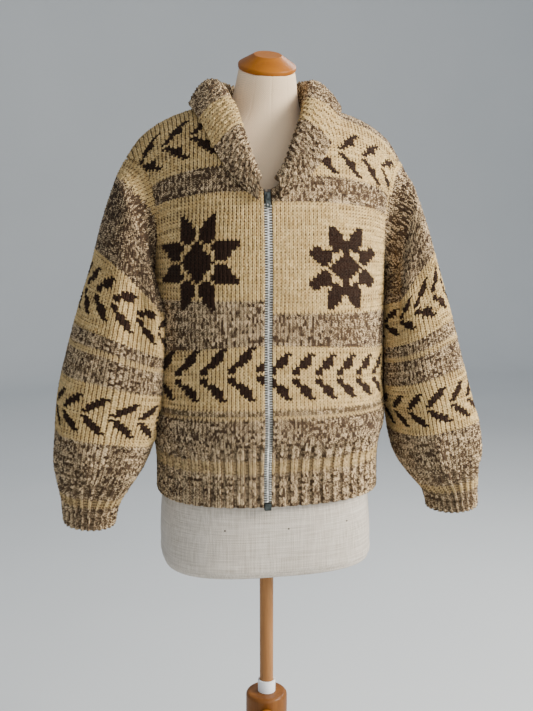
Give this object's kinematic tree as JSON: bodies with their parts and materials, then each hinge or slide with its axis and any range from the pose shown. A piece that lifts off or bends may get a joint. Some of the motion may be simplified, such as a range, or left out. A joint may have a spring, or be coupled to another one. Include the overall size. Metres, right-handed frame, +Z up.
{
  "type": "cowichan cardigan on a dress form",
  "caption": "Hand-knitted wool cardigan with shawl collar, metal zip and colourwork, on a limbless linen dress form with a wooden pole and turned stand.",
  "frame": {"origin": "centre of the round base's underside, on the pole's axis", "axes": "+Z up along the pole, -Y the way the form faces, +X towards the form's left hand, which is the right as seen from the front"},
  "size_m": [0.692, 0.4, 1.5012],
  "materials": {
    "wool": "hand-knitted undyed wool, cream with dark brown figures and marled bands",
    "marled_wool": "hand-knitted brown and cream marled wool with a cream band",
    "zip_metal": "bright metal zip teeth and retaining box",
    "slider_metal": "dark grey metal slider and pull tab",
    "zip_tape": "woven dark grey tape",
    "linen": "plain-weave beige linen over a padded torso",
    "honey_wood": "varnished honey-coloured turned wood",
    "pole_wood": "varnished wooden pole",
    "white_tape": "white adhesive tape"
  },
  "bodies": {
    "stand": {"stand_base": "honey_wood", "hub_column": "honey_wood"},
    "mast": {"pole": "pole_wood", "pole_tape_wrap": "white_tape"},
    "dressed_form": {"form_torso": "linen", "neck_cap": "honey_wood", "back": "wool", "front_left": "wool", "front_right": "wool", "sleeve_left": "wool", "sleeve_right": "wool", "shawl_collar": "marled_wool", "zip_chain": "zip_metal", "zip_tape_left": "zip_tape", "zip_tape_right": "zip_tape", "zip_slider": "slider_metal", "zip_bottom_box": "zip_metal"},
    "knob": {"clamp_knob": "honey_wood"},
    "pull_tab": {"zip_pull_tab": "slider_metal"}
  },
  "joints": [
    {"name": "mast_height", "type": "slide", "parent": "stand", "child": "mast", "axis": [0, 0, 1], "range_m": [0, 0.15]},
    {"name": "form_swivel", "type": "hinge", "parent": "mast", "child": "dressed_form", "pos_m": [0, 0, 0.7], "axis": [0, 0, 1], "continuous": true},
    {"name": "knob_turn", "type": "hinge", "parent": "stand", "child": "knob", "pos_m": [-0.00672, -0.03455, 0.415], "axis": [-0.1908, -0.9816, 0], "continuous": true},
    {"name": "pull_tab_swing", "type": "hinge", "parent": "dressed_form", "child": "pull_tab", "pos_m": [-0.024, -0.13297, 1.28228], "axis": [-1, 0, 0], "range_deg": [0, 140]}
  ]
}
